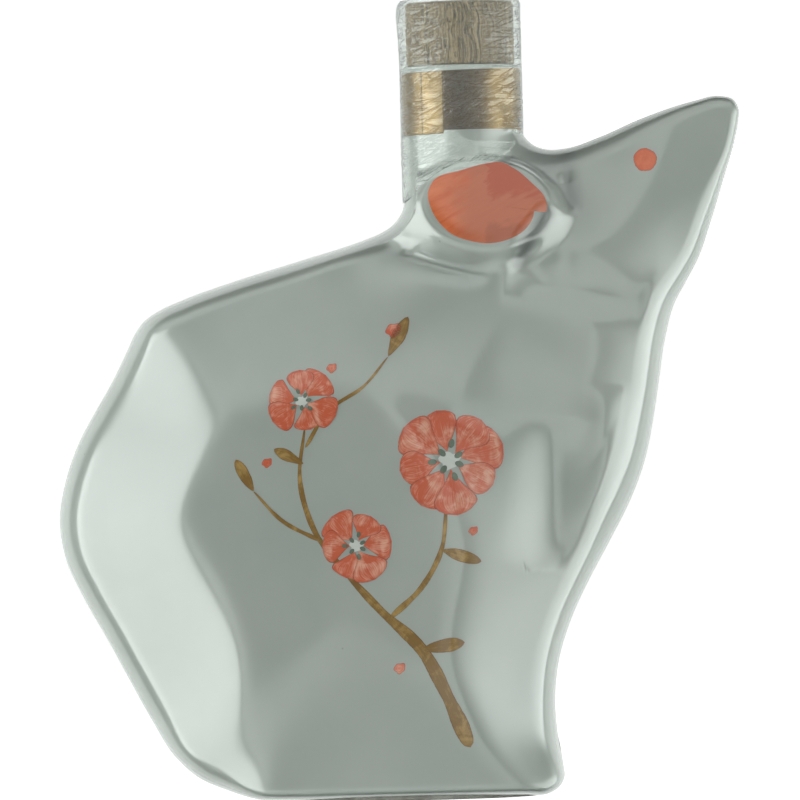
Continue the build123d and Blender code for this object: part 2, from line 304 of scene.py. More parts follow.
def grid_faces(rows, columns, closed=False):
    """Quads between the neighbours of a grid of rows by columns, closed round its columns if asked."""
    row = np.arange(rows - 1)[:, None]
    column = np.arange(columns if closed else columns - 1)[None]
    beside = (column + 1) % columns
    quads = np.stack([row * columns + column, row * columns + beside,
                      (row + 1) * columns + beside, (row + 1) * columns + column], axis=-1)
    return quads.reshape(-1, 4)


def add_object(name, data):
    """Add an object with its data to the scene."""
    added = bpy.data.objects.new(name, data)
    bpy.context.scene.collection.objects.link(added)
    return added


def new_piece(name, points, faces, material, body="bottle", uv=None, shell=True):
    """Make a smooth mesh piece from points in millimetres and quads, and let it ride on a body.

    Points that coincide are joined, and a closed shell has its normals turned outwards.
    """
    mesh = bpy.data.meshes.new(name)
    mesh.from_pydata((points * MM).tolist(), [], faces.tolist())
    if uv is not None:
        layer = mesh.uv_layers.new(name="UVMap")
        layer.data.foreach_set("uv", uv[faces.ravel()].astype(np.float32).ravel())
    build = bmesh.new()
    build.from_mesh(mesh)
    bmesh.ops.remove_doubles(build, verts=build.verts, dist=1e-6)
    bmesh.ops.dissolve_degenerate(build, edges=build.edges, dist=1e-7)
    if shell:
        bmesh.ops.recalc_face_normals(build, faces=build.faces)
    build.to_mesh(mesh)
    build.free()
    mesh.shade_smooth()
    mesh.materials.append(material)
    mesh.update()
    piece = add_object(name, mesh)
    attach(piece, body)
    return piece


def place(tree, kind, settings=None, **inputs):
    """Add a node. Inputs are named with _ for a space, or n0, n1 for a place in the list."""
    new = tree.nodes.new(kind)
    for name, value in (settings or {}).items():
        setattr(new, name, value)
    for name, value in inputs.items():
        key = int(name[1:]) if name[0] == "n" and name[1:].isdigit() else name.replace("_", " ")
        if isinstance(value, bpy.types.NodeSocket):
            tree.links.new(value, new.inputs[key])
        else:
            new.inputs[key].default_value = value
    return new


def colour_mix(tree, factor, first, second):
    """A colour between first and second by factor."""
    mix = place(tree, "ShaderNodeMix", {"data_type": "RGBA"}, n0=factor, n6=first, n7=second)
    return mix.outputs[2]


def number(tree, operation, first, second=0.0, third=0.0):
    """One step of arithmetic on numbers."""
    step = place(tree, "ShaderNodeMath", {"operation": operation}, n0=first, n1=second, n2=third)
    return step.outputs[0]


def ramp(tree, value, low, high, start=0.0, end=1.0):
    """A number carried smoothly from start to end as value goes from low to high."""
    step = place(tree, "ShaderNodeMapRange", {"interpolation_type": "SMOOTHSTEP"},
                 Value=value, From_Min=low, From_Max=high, To_Min=start, To_Max=end)
    return step.outputs[0]


def noise(tree, vector, scale, detail=2.0, roughness=0.5, distortion=0.0):
    """A noise texture's value, with one scale or one for each axis."""
    if isinstance(scale, tuple):
        vector, scale = place(tree, "ShaderNodeMapping", n0=vector, n3=scale).outputs[0], 1.0
    texture = place(tree, "ShaderNodeTexNoise", Vector=vector, Scale=scale, Detail=detail,
                    Roughness=roughness, Distortion=distortion)
    return texture.outputs[0]


def axes(tree, vector):
    """The three numbers of a vector."""
    return place(tree, "ShaderNodeSeparateXYZ", n0=vector).outputs


def bump(tree, height, distance, strength):
    """A normal bent by a height, where 1 stands for a distance in metres."""
    return place(tree, "ShaderNodeBump", Height=height, Distance=distance, Strength=strength).outputs[0]


def new_material(name, **constants):
    """A material with a Principled BSDF, whose sockets get constants. Gives it, its tree and shader."""
    material = bpy.data.materials.new(name)
    material.use_nodes = True
    tree = material.node_tree
    shader = tree.nodes["Principled BSDF"]
    for key, value in constants.items():
        shader.inputs[key.replace("_", " ")].default_value = value
    return material, tree, shader


def feed(node, **values):
    """Link values to a node's sockets, named with _ for a space."""
    for key, value in values.items():
        node.id_data.links.new(value, node.inputs[key.replace("_", " ")])


def object_place(tree):
    """Object coordinates."""
    return tree.nodes.new("ShaderNodeTexCoord").outputs["Object"]


def porcelain_glaze():
    """Porcelain glaze: a cloudy pale green body with rare specks, and painted shade darkening its
    creases.

    Its surface ripples a little under a clear coat.
    """
    base, cloud = (0.50, 0.535, 0.50, 1), (0.465, 0.505, 0.47, 1)
    painted_shade_colour, fleck = (0.07, 0.08, 0.075, 1), (0.30, 0.27, 0.22, 1)
    material, tree, shader = new_material("porcelain_glaze", Roughness=0.26, Coat_Weight=1.0,
                                          Coat_Roughness=0.08, Coat_IOR=1.6, IOR=1.5)
    where = object_place(tree)
    tint = colour_mix(tree, ramp(tree, noise(tree, where, 28.0, 3.0, 0.55), 0.35, 0.68), base, cloud)
    painted_shade = place(tree, "ShaderNodeAttribute", {"attribute_name": "painted_shade"}).outputs["Fac"]
    # Painted shade: the colour turns near-black along the creases, by a mesh attribute that make_body
    # fills
    tint = colour_mix(tree, painted_shade, tint, painted_shade_colour)
    dots = place(tree, "ShaderNodeTexVoronoi", {"feature": "F1"}, Vector=where, Scale=190.0)
    chance = place(tree, "ShaderNodeSeparateColor", n0=dots.outputs["Color"]).outputs[0]
    near = ramp(tree, dots.outputs["Distance"], 0.035, 0.06, 1.0, 0.0)
    speck = number(tree, "MULTIPLY", number(tree, "MULTIPLY", near, ramp(tree, chance, 0.955, 0.96)), 0.5)
    feed(shader, Base_Color=colour_mix(tree, speck, tint, fleck),
         Normal=bump(tree, noise(tree, where, 70.0, 1.5, 0.4), 0.00012, 0.5))
    return material


# Colours of the brushed paints: where it is thin, where it is thick, and at its rim
PAINT_WASHES = {
    "petal_red": ((0.90, 0.47, 0.34, 1), (0.72, 0.145, 0.07, 1), (0.58, 0.095, 0.045, 1)),
    "eye_red": ((0.86, 0.20, 0.08, 1), (0.80, 0.16, 0.06, 1), (0.70, 0.12, 0.05, 1)),
    "stem_ochre": ((0.52, 0.33, 0.11, 1), (0.27, 0.15, 0.04, 1), (0.20, 0.10, 0.03, 1)),
    "stamen_green": ((0.22, 0.26, 0.19, 1), (0.15, 0.19, 0.14, 1), (0.13, 0.16, 0.12, 1)),
    "paint_white": ((0.80, 0.82, 0.78, 1), (0.74, 0.77, 0.72, 1), (0.70, 0.72, 0.68, 1)),
}


def brushwork_group():
    """Brushed overglaze colour: thin and thick washes, a darker rim and a broken edge.

    Stroke runs from 0 to 1 along a stroke and across it, so 0.5 is its middle line.
    """
    group = bpy.data.node_groups.new("brushwork", "ShaderNodeTree")
    for name, way, kind in (("Place", "INPUT", "Vector"), ("Stroke", "INPUT", "Vector"),
                            ("Thin", "INPUT", "Color"), ("Thick", "INPUT", "Color"),
                            ("Rim", "INPUT", "Color"), ("Colour", "OUTPUT", "Color"),
                            ("Cover", "OUTPUT", "Float")):
        group.interface.new_socket(name, in_out=way, socket_type="NodeSocket" + kind)
    start, end = group.nodes.new("NodeGroupInput").outputs, group.nodes.new("NodeGroupOutput")
    along, over, _ = axes(group, start["Stroke"])
    across = number(group, "ABSOLUTE", number(group, "MULTIPLY_ADD", over, 2.0, -1.0))
    wash = noise(group, start["Place"], 260.0, 3.0, 0.6, 0.6)
    hairs = noise(group, start["Stroke"], (1.5, 26.0, 1.0), 2.0, 0.6)
    body = number(group, "MULTIPLY_ADD", hairs, 0.45, number(group, "MULTIPLY", wash, 0.75))
    tint = colour_mix(group, ramp(group, body, 0.42, 0.68), start["Thin"], start["Thick"])
    edge = number(group, "MAXIMUM", ramp(group, across, 0.72, 0.98), ramp(group, along, 0.84, 0.99))
    tint = colour_mix(group, number(group, "MULTIPLY", edge, 0.6), tint, start["Rim"])
    broken = number(group, "MULTIPLY_ADD", noise(group, start["Place"], 900.0, 2.0), 0.16, across)
    feed(end, Colour=tint, Cover=ramp(group, broken, 1.02, 1.09, 1.0, 0.0))
    return group


def watercolour(name, brushwork, thin, thick, rim):
    """A paint brushed over the glaze, glossy as it is."""
    material, tree, shader = new_material(name, Roughness=0.3, Coat_Weight=1.0, Coat_Roughness=0.08)
    uv = tree.nodes.new("ShaderNodeUVMap").outputs[0]
    paint = place(tree, "ShaderNodeGroup", {"node_tree": brushwork}, Place=object_place(tree),
                  Stroke=uv, Thin=thin, Thick=thick, Rim=rim).outputs
    feed(shader, Base_Color=paint["Colour"], Alpha=paint["Cover"])
    return material


def ear_paint():
    """The ear's colour: bright orange behind, turning browner and darker toward the front, which is
    painted shade.

    Where each band of painted shade begins and where it covers are places in metres: X to the snout, Z
    up.
    """
    shade_front, dark_front, low_front = (0.020, 0.029), (0.0305, 0.0325), (0.0290, 0.0320)
    dark_height, low_height = (0.1385, 0.1415), (0.1320, 0.1345)
    dull_orange, bright_orange = (0.78, 0.15, 0.05, 1), (0.92, 0.25, 0.10, 1)
    shade_brown, dark_red, dark_brown = (0.62, 0.175, 0.085, 1), (0.58, 0.085, 0.03, 1), (0.42, 0.10, 0.045, 1)
    material, tree, shader = new_material("ear_paint", Roughness=0.32, Coat_Weight=1.0,
                                          Coat_Roughness=0.10)
    where = object_place(tree)
    turned = place(tree, "ShaderNodeMapping", n0=where, n2=(0.0, 0.5, 0.0)).outputs[0]
    hairs = noise(tree, turned, (120.0, 120.0, 520.0), 3.0, 0.55, 0.5)
    broad = noise(tree, where, 150.0, 2.0, 0.5)
    x, _, z = axes(tree, where)
    wander = number(tree, "MULTIPLY_ADD", hairs, 0.008, number(tree, "MULTIPLY", broad, 0.010))
    front = number(tree, "ADD", x, wander)
    height = number(tree, "SUBTRACT", z, wander)
    tint = colour_mix(tree, ramp(tree, hairs, 0.3, 0.7), dull_orange, bright_orange)
    # Painted shade: browner toward the front, darker red at the upper front and dark brown at the lower
    # front
    tint = colour_mix(tree, ramp(tree, front, *shade_front, 0.0, 0.8), tint, shade_brown)
    upper_shade = number(tree, "MULTIPLY", ramp(tree, front, *dark_front), ramp(tree, height, *dark_height))
    tint = colour_mix(tree, number(tree, "MULTIPLY", upper_shade, 0.75), tint, dark_red)
    lower_shade = number(tree, "MULTIPLY", ramp(tree, front, *low_front),
                   ramp(tree, height, *low_height, 1.0, 0.0))
    feed(shader, Base_Color=colour_mix(tree, number(tree, "MULTIPLY", lower_shade, 0.5), tint, dark_brown))
    return material


def turned_wood():
    """Bare wood with upright grain: noise drawn out along Z, with thin dark lines between."""
    dark_line, pale_wood = (0.050, 0.034, 0.014, 1), (0.34, 0.245, 0.120, 1)
    dull_wood = (0.16, 0.115, 0.058, 1)
    material, tree, shader = new_material("turned_wood", Roughness=0.55)
    where = object_place(tree)
    bend = noise(tree, where, (70.0, 70.0, 120.0), 1.0)
    shift = place(tree, "ShaderNodeVectorMath", {"operation": "SCALE"}, n0=(0.004, 0.003, 0.0),
                  Scale=bend).outputs[0]
    wandering = place(tree, "ShaderNodeVectorMath", {"operation": "ADD"}, n0=shift, n1=where).outputs[0]
    grain = noise(tree, wandering, (2500.0, 2500.0, 26.0), 2.5, 0.55)
    tint = colour_mix(tree, ramp(tree, grain, 0.34, 0.62), dark_line, pale_wood)
    broad = noise(tree, wandering, (240.0, 240.0, 9.0), 1.0)
    tint = colour_mix(tree, ramp(tree, broad, 0.35, 0.7, 0.0, 0.45), tint, dull_wood)
    feed(shader, Base_Color=tint, Normal=bump(tree, grain, 0.00015, 0.7))
    return material


def natural_cork():
    """Cork: warm granules with dark pores."""
    material, tree, shader = new_material("natural_cork", Roughness=0.85)
    where = object_place(tree)
    grains = place(tree, "ShaderNodeTexVoronoi", {"feature": "F1"}, Vector=where, Scale=650.0)
    tint = colour_mix(tree, ramp(tree, noise(tree, where, 900.0, 3.0), 0.35, 0.65),
                      (0.46, 0.29, 0.15, 1), (0.70, 0.50, 0.31, 1))
    pores = ramp(tree, noise(tree, where, 420.0, 4.0, 0.7), 0.60, 0.66)
    tint = colour_mix(tree, pores, tint, (0.14, 0.07, 0.03, 1))
    feed(shader, Base_Color=tint, Normal=bump(tree, grains.outputs["Distance"], 0.0002, 0.6))
    return material


def gold_foil():
    """Satin gold foil: fine level lines, blotches of duller gold, and a painted dark reflection in front.

    The painted reflection's edges are places in metres: the first pairs on X, the last on Y.
    """
    reflection_start, reflection_end, front_half = (0.0121, 0.0124), (0.0215, 0.0262), (-0.002, 0.0)
    gold, dull_gold = (0.30, 0.205, 0.090, 1), (0.235, 0.155, 0.064, 1)
    dark_brown = (0.075, 0.045, 0.022, 1)
    material, tree, shader = new_material("gold_foil", Metallic=0.88)
    where = object_place(tree)
    lines = noise(tree, where, (30.0, 30.0, 1500.0))
    blotch = noise(tree, where, 260.0, 3.0, 0.6)
    tint = colour_mix(tree, ramp(tree, blotch, 0.35, 0.7), gold, dull_gold)
    x, y, _ = axes(tree, where)
    # Painted reflection: dark brown laid over a patch on the front of the tape
    painted_reflection = number(tree, "MULTIPLY", ramp(tree, x, *reflection_start), ramp(tree, x, *reflection_end, 1.0, 0.0))
    painted_reflection = number(tree, "MULTIPLY", painted_reflection, ramp(tree, y, *front_half, 1.0, 0.0))
    tint = colour_mix(tree, number(tree, "MULTIPLY", painted_reflection, 0.85), tint, dark_brown)
    height = number(tree, "MULTIPLY_ADD", lines, 0.5, blotch)
    feed(shader, Base_Color=tint, Roughness=ramp(tree, blotch, 0.3, 0.7, 0.34, 0.46),
         Normal=bump(tree, height, 0.00016, 0.6))
    return material


def clear_film():
    """Thin clear film: it hardly bends light, mirrors it, and lets most shadow rays pass.

    Of its two sets of fine creases one runs level and one slants.
    """
    material, tree, shader = new_material("clear_film", Roughness=0.05, IOR=1.06, Metallic=0.0,
                                          Transmission_Weight=0.95, Coat_Weight=0.6, Coat_IOR=1.5,
                                          Coat_Roughness=0.04)
    where = object_place(tree)
    haze = noise(tree, where, 300.0, 3.0, 0.6)
    tint = colour_mix(tree, ramp(tree, haze, 0.35, 0.7), (0.98, 0.99, 0.98, 1), (0.93, 0.95, 0.94, 1))
    path = tree.nodes.new("ShaderNodeLightPath")
    shown = number(tree, "MULTIPLY_ADD", path.outputs["Is Shadow Ray"], -0.9, 1.0)
    height = noise(tree, where, 500.0, 2.0)
    for slant, scale, weight in ((0.0, (45.0, 45.0, 620.0), 1.0), (0.5, (60.0, 60.0, 520.0), 1.4)):
        turned = place(tree, "ShaderNodeMapping", n0=where, n2=(0.0, slant, 0.0)).outputs[0]
        waves = noise(tree, turned, scale, 2.0, 0.5, 0.4)
        fold = number(tree, "ABSOLUTE", number(tree, "SUBTRACT", waves, 0.5))
        crest = ramp(tree, fold, 0.0, 0.07, weight, 0.0)
        height = number(tree, "ADD", height, crest)
    creased = bump(tree, height, 0.00034, 0.7)
    feed(shader, Base_Color=tint, Alpha=shown, Normal=creased, Coat_Normal=creased)
    return material


def biscuit():
    """Bare fired clay of the foot: matt, faintly grainy and greyer where it has stood."""
    material, tree, shader = new_material("biscuit", Roughness=0.8)
    where = object_place(tree)
    tint = colour_mix(tree, ramp(tree, noise(tree, where, 160.0, 4.0), 0.35, 0.7),
                      (0.66, 0.64, 0.59, 1), (0.45, 0.43, 0.39, 1))
    feed(shader, Base_Color=tint, Normal=bump(tree, noise(tree, where, 2200.0, 2.0), 0.0001, 0.6))
    return material


def lattice_noise(u, v, seed):
    """Smooth random numbers from 0 to 1: a fixed lattice of them, eased between its points."""
    size = 64             # the lattice repeats after this many points
    values = np.random.default_rng(seed).random((size, size))
    iu, iv = np.floor(u).astype(int), np.floor(v).astype(int)
    fu, fv = u - iu, v - iv
    fu, fv = fu * fu * (3 - 2 * fu), fv * fv * (3 - 2 * fv)
    a, b = values[iu % size, iv % size], values[(iu + 1) % size, iv % size]
    c, d = values[iu % size, (iv + 1) % size], values[(iu + 1) % size, (iv + 1) % size]
    return (a * (1 - fu) + b * fu) * (1 - fv) + (c * (1 - fu) + d * fu) * fv


def creases(u, v, seed):
    """Sharp thin ridges from 0 to 1: where smooth random numbers pass through their middle."""
    return np.exp(-((lattice_noise(u, v, seed) - 0.5) / 0.07) ** 2)


def make_body():
    """The porcelain body: two star-shaped sheets from the silhouette, with the neck on top.

    A point of a sheet is centre + (silhouette point - centre) sin(pi t / 2), with the flank's
    depth to either side. The sheets meet along the silhouette and at the neck's ring. The neck,
    its lip and its bore are a profile of (radius, z) turned in two halves.
    """
    half_turn = np.linspace(np.pi, 0, NECK_COLUMNS + 2)
    cut = np.stack([NECK_X - NECK_RADIUS * np.cos(half_turn), np.full_like(half_turn, NECK_RING_Z)], 1)
    rim = np.concatenate([outline[:, :2], cut[1:-1]])
    share = np.sin(np.linspace(0, 1, BODY_RINGS + 1) * np.pi / 2)
    centre = np.array(STAR_CENTRE)
    plane = centre + share[:, None, None] * (rim - centre)
    depth = flank(plane.reshape(-1, 2)).reshape(plane.shape[:2])
    depth[-1, :BODY_COLUMNS] = 0.0
    depth[-1, BODY_COLUMNS:] = NECK_RADIUS * np.sin(half_turn[1:-1])
    depth[0] = depth[0].mean()
    near = np.stack([plane[..., 0], -depth, plane[..., 1]], -1).reshape(-1, 3)
    faces = grid_faces(BODY_RINGS + 1, len(rim), closed=True)
    points, quads = [near, near * (1, -1, 1)], [faces, faces[:, ::-1] + len(near)]
    profile = np.array([
        (NECK_RADIUS, NECK_RING_Z), (NECK_RADIUS, 174.0), (NECK_RADIUS, 181.2),
        (NECK_RADIUS - 0.15, 181.8), (NECK_RADIUS - 0.5, 182.15), (NECK_RADIUS - 1.0, LIP_Z),
        (BORE_RADIUS + 0.9, LIP_Z), (BORE_RADIUS + 0.35, 182.1), (BORE_RADIUS, 181.6),
        (BORE_RADIUS, 170.0), (BORE_RADIUS, 140.0), (BORE_RADIUS, BORE_FLOOR_Z), (0.0, BORE_FLOOR_Z)])
    for side in (-1, 1):
        x = NECK_X - profile[:, 0, None] * np.cos(half_turn)
        y = side * profile[:, 0, None] * np.sin(half_turn)
        z = np.broadcast_to(profile[:, 1, None], x.shape)
        quads.append(grid_faces(*x.shape)[:, ::side] + sum(len(p) for p in points))
        points.append(np.stack([x, y, z], -1).reshape(-1, 3))
    body = new_piece("porcelain_body", np.concatenate(points), np.concatenate(quads),
                     porcelain_glaze())
    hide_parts("bottle_body")
    corners = np.empty(3 * len(body.data.vertices), np.float32)
    body.data.vertices.foreach_get("co", corners)
    places = corners.reshape(-1, 3)[:, ::2] / MM
    # Painted shade: how strongly the glaze colour is darkened at each point along the creases
    painted_shade = np.zeros(len(places))
    for start, end, half_width, amount in PAINTED_SHADE_LINES:
        painted_shade = np.maximum(painted_shade, amount * ridge(places, start, end, half_width))
    layer = body.data.attributes.new("painted_shade", "FLOAT", "POINT")
    layer.data.foreach_set("value", painted_shade.astype(np.float32))


def make_foot():
    """The unglazed ring that the bottle stands on, just inside the edge of its base.

    Its section, as insets and heights, is carried round the superellipse |x|^p + |y|^p = 1.
    """
    turn = np.linspace(0, 2 * np.pi, 160, endpoint=False)
    centre, half_length, half_depth, power = -0.5, 33.5, 22.5, 2.6
    cosine, sine = np.cos(turn), np.sin(turn)
    oval_x = np.sign(cosine) * np.abs(cosine) ** (2 / power)
    oval_y = np.sign(sine) * np.abs(sine) ** (2 / power)
    section = [(0.0, 1.6), (0.0, 0.45), (0.35, 0.0), (3.9, 0.0), (4.4, 0.4), (4.6, 1.6)]
    rows = [np.stack([centre + (half_length - inset) * oval_x, (half_depth - inset) * oval_y,
                      np.full_like(turn, z)], 1) for inset, z in section + section[:1]]
    faces = grid_faces(len(rows), len(turn), closed=True)
    new_piece("foot_ring", np.concatenate(rows), faces, biscuit())


def make_stopper():
    """The turned wooden head: a profile of (radius, z) round the neck's axis.

    It has softened edges, a seat for the cork, and faint tool rings on its side.
    """
    bottom, top, radius, seat_depth = 182.4, 198.2, 13.5, 2.0
    ring_height, ring_pace = 0.03, 7.0
    z = np.linspace(bottom + 0.5, top - 0.9, 60)
    side = [(radius + ring_height * np.sin(v * ring_pace), v) for v in z]
    profile = np.array([
        (0.0, bottom + seat_depth), (BORE_RADIUS, bottom + seat_depth), (BORE_RADIUS, bottom),
        (radius - 0.5, bottom), (radius - 0.1, bottom + 0.2), *side, (radius - 0.1, top - 0.5),
        (radius - 0.4, top - 0.15), (radius - 0.9, top), (6.0, top), (0.0, top)])
    turn = np.linspace(0, 2 * np.pi, 144, endpoint=False)
    reach, height = np.repeat(profile[:, :1], len(turn), 1), np.repeat(profile[:, 1:], len(turn), 1)
    points = np.stack([NECK_X + reach * np.cos(turn), reach * np.sin(turn), height], -1).reshape(-1, 3)
    head = new_piece("wooden_head", points, grid_faces(*reach.shape, closed=True), turned_wood(),
                     "stopper")
    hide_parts("stopper_head")


def make_tape():
    """The foil tape: one turn and a lapped end, with fine level wrinkles in its radius."""
    bottom, width, front_rise = 165.3, 15.6, 0.42
    inner_gap, outer_gap, lap_step, wrinkle_height = 0.06, 0.19, 0.16, 0.03
    start, sweep, lap_sweep, lap_edge = np.radians((252.0, 384.0, 24.0, 1.5))
    turn = start - sweep + np.linspace(0, sweep, 420)
    t, h = np.meshgrid(turn, np.linspace(0, 1, 70))
    lap = np.clip((t - (start - lap_sweep)) / lap_edge, 0, 1)
    z = bottom + width * h + front_rise * np.cos(t) * (1 - 0.1 * h)
    wrinkle = wrinkle_height * creases(t * 0.9, z * 1.3, 3) * np.exp(-((h - 0.45) / 0.25) ** 4)
    outer = NECK_RADIUS + outer_gap + lap_step * lap + wrinkle
    inner = NECK_RADIUS + inner_gap + lap_step * lap + 0.5 * wrinkle
    sheets = [np.stack([NECK_X + r * np.cos(t), r * np.sin(t), z], -1).reshape(-1, 3)
              for r in (outer, inner)]
    size = t.size
    grid = np.arange(size).reshape(t.shape)
    loop = np.concatenate([grid[0, :], grid[1:, -1], grid[-1, -2::-1], grid[-2:0:-1, 0]])
    beside = np.roll(loop, -1)
    edge = np.stack([loop, loop + size, beside + size, beside], 1)
    faces = np.concatenate([grid_faces(*t.shape), grid_faces(*t.shape)[:, ::-1] + size, edge])
    tape = new_piece("foil_tape", np.concatenate(sheets), faces, gold_foil())
    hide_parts("seal_tape")


# Clear film, and X and Z of points along its lower edge
FILM_RADIUS = 15.25
FILM_TOP = 198.9
FILM_THICKNESS = 0.09
FILM_HEM = [(-20.0, 148.6), (2.0, 148.4), (4.0, 149.6), (6.6, 152.4), (9.3, 153.6), (25.4, 157.8),
            (28.6, 160.2), (31.0, 163.6), (60.0, 165.4)]


def make_film():
    """The clear film: a sleeve that hangs from its turned-in top and drapes over the ears.

    To its radius come a bulge at the back of its top, creases that slant below the tape, run level
    on it and stand upright on the stopper, and a slow swell. Where the flank is prouder than that,
    it lies on the flank, with its lowest edge sunk in the glaze.
    """
    turn = np.linspace(0, 2 * np.pi, 360, endpoint=False)
    share = np.concatenate([np.linspace(0, 0.93, 130), np.linspace(0.936, 1.0, 12)])
    t, s = np.meshgrid(turn, share)
    cosine, sine = np.cos(t), np.sin(t)
    hem = np.interp(NECK_X + (FILM_RADIUS + 0.05) * cosine, *np.array(FILM_HEM).T)
    z = hem + (FILM_TOP - hem) * np.minimum(s / 0.985, 1.0)
    back = np.clip(-cosine, 0, 1) ** 2
    radius = FILM_RADIUS + 0.55 * back * np.exp(-((z - 195.0) / 3.5) ** 2)
    turned_in = np.clip((s - 0.94) / 0.06, 0, 1)
    radius = radius - 1.35 * turned_in ** 2
    z = z - 0.25 * np.clip((s - 0.985) / 0.015, 0, 1)
    arc = radius * t
    upward, across = arc * 0.80 - (z - 150) * 0.55, arc * 0.45 + (z - 150) * 0.80
    below, level, above = [np.exp(-((z - middle) / reach) ** 2)
                           for middle, reach in ((160.0, 5.0), (172.0, 6.0), (190.0, 7.0))]
    near_left = (0.5 - 0.5 * np.sign(sine)) * (0.35 + 0.65 * (cosine < 0.2))
    radius = radius + 0.16 * below * creases(upward * 0.12, across * 0.55, 11)
    radius = radius + 0.20 * above * creases(arc * 0.42, z * 0.12, 12) * near_left
    radius = radius + 0.07 * level * creases(arc * 0.06, z * 0.85, 13)
    radius = radius + 0.08 * (lattice_noise(arc * 0.3, z * 0.18, 14) - 0.3)
    x = NECK_X + radius * cosine
    depth = radius * np.abs(sine)
    low = (np.abs(sine) > 0.35) & (z < 168.0)
    lift = 0.4 * np.minimum(s[low] / 0.03, 1.0) - 0.15
    onto = np.clip((166.0 - z[low]) / 4.0, 0, 1)
    lying = higher_of(depth[low], flank(np.stack([x[low], z[low]], 1)) + lift, 0.8)
    depth[low] += onto * (lying - depth[low])
    points = np.stack([x, np.sign(sine) * depth, z], -1).reshape(-1, 3)
    film = new_piece("shrink_film", points, grid_faces(*t.shape, closed=True), clear_film(),
                     "film", shell=False)
    wall = film.modifiers.new("thickness", "SOLIDIFY")
    wall.thickness = FILM_THICKNESS * MM
    wall.offset = 1.0
    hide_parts("clear_film")


LAYER = 0.03              # thickness of a coat of paint
# Painted spray: stems as a route and its widths, leaves as base, angle, length and width, flowers as
# centre, radius, number of petals and turn, and berries as centre and size
SPRAY = {
    "stems": [
        ([(15.0, 13.0), (9.5, 26.0), (3.5, 37.5), (-6.0, 47.0), (-15.0, 57.0)], (4.2, 3.0, 1.5)),
        ([(-15.0, 57.0), (-22.0, 67.0), (-25.5, 80.0), (-24.0, 93.0)], (1.6, 1.3, 0.7)),
        ([(-4.0, 45.5), (4.0, 53.0), (9.0, 62.0), (10.5, 73.0)], (1.6, 1.3, 0.9)),
        ([(-24.0, 88.0), (-18.0, 97.0), (-9.0, 103.0), (-3.0, 110.0)], (1.0, 0.9, 0.5)),
        ([(-21.0, 65.0), (-30.0, 70.0), (-37.0, 77.5)], (1.1, 1.0, 0.5)),
    ],
    "leaves": [((-3.0, 110.0), 62.0, 11.0, 3.4), ((-37.0, 77.5), 118.0, 9.0, 3.0),
               ((9.0, 62.0), -18.0, 10.0, 3.2), ((3.5, 37.5), 8.0, 11.0, 3.6),
               ((-24.5, 84.0), 152.0, 8.5, 2.8)],
    "flowers": [((11.5, 84.0), 13.2, 8, 10.0), ((-24.5, 99.5), 8.2, 6, 40.0),
                ((-12.0, 63.5), 8.8, 6, 5.0)],
    "berries": [((-2.0, 33.0), 1.5), ((-33.5, 84.5), 1.3), ((-1.5, 116.5), 2.0), ((17.0, 66.5), 1.2),
                ((-17.0, 107.5), 1.3)],
}


def heading(degrees):
    """The unit step (x, z) at an angle up from X."""
    return np.array([np.cos(np.radians(degrees)), np.sin(np.radians(degrees))])


def uv_grid(u, v):
    """UV of a grid of points from its shares u along rows and v down columns."""
    return np.stack(np.broadcast_arrays(u, v), -1)


def on_flank(plane, lift):
    """Points of the near side over points (x, z), lifted off the glaze."""
    return np.stack([plane[:, 0], -(flank(plane) + lift), plane[:, 1]], 1)


def painted(name, patches, paint, lift):
    """Patches of paint as one piece. Each patch is a grid of points (x, z) and of its UV.

    Each lies half a coat over the one before, so that no two coincide where they cross.
    """
    points, faces, uv, count = [], [], [], 0
    for order, (plane, patch_uv) in enumerate(patches):
        flat = plane.reshape(-1, 2)
        points.append(on_flank(flat, lift + LAYER * order * 0.5))
        faces.append(grid_faces(*plane.shape[:2]) + count)
        uv.append(patch_uv.reshape(-1, 2))
        count += len(flat)
    new_piece(name, np.concatenate(points), np.concatenate(faces), PAINT[paint],
              uv=np.concatenate(uv), shell=False)


def stroke(route, widths):
    """A brush stroke: a ribbon along a smooth route, with its width eased from one to the next."""
    u, v = np.linspace(0, 1, 70), np.linspace(-1, 1, 9)
    line = smooth_curve(route, u)
    step = np.gradient(line, axis=0)
    step /= np.linalg.norm(step, axis=1, keepdims=True)
    aside = np.stack([-step[:, 1], step[:, 0]], 1)
    width = np.interp(u, np.linspace(0, 1, len(widths)), widths) / 2
    width = width * (1 + 0.16 * np.sin(u * 19.0) * np.sin(u * 7.0)) * np.sqrt(1 - (2 * u - 1) ** 12)
    plane = line[:, None] + v[None, :, None] * (aside * width[:, None])[:, None]
    return plane, uv_grid(u[:, None], (v[None] + 1) / 2)


def petal(base, angle, length, width, fullness):
    """A petal or leaf. Its half width is sin(pi u^(1 / fullness))^0.62 from base to tip.

    The greater the fullness, the nearer its widest place is to its base.
    """
    u, v = np.linspace(0, 1, 22), np.linspace(-1, 1, 13)
    ahead, aside, angle = heading(angle), heading(angle + 90), np.radians(angle)
    half = width / 2 * np.sin(np.pi * u ** (1 / fullness)) ** 0.62
    half = half * (1 + 0.05 * np.sin(9 * u + angle * 3))
    bow = length * (u - 0.04 * np.sin(3 * angle) * u * u)
    plane = np.array(base) + bow[:, None, None] * ahead + (v[None] * half[:, None])[..., None] * aside
    return plane, uv_grid(u[:, None], (v[None] + 1) / 2)


def oval(centre, half_length, half_width, slant=0.0, wobble=0.0):
    """A filled oval: rings of shares of its outline round its centre."""
    turn, share = np.linspace(0, 2 * np.pi, 41), np.linspace(0, 1, 8)
    slant = np.radians(slant)
    edge = 1 + wobble * np.sin(3 * turn + 1) + wobble * np.sin(5 * turn)
    x, z = half_length * edge * np.cos(turn), half_width * edge * np.sin(turn)
    ring = np.stack([x * np.cos(slant) - z * np.sin(slant), x * np.sin(slant) + z * np.cos(slant)], 1)
    plane = np.array(centre) + share[:, None, None] * ring
    return plane, uv_grid(np.full((1, len(turn)), 0.5), 0.5 + share[:, None] / 2)


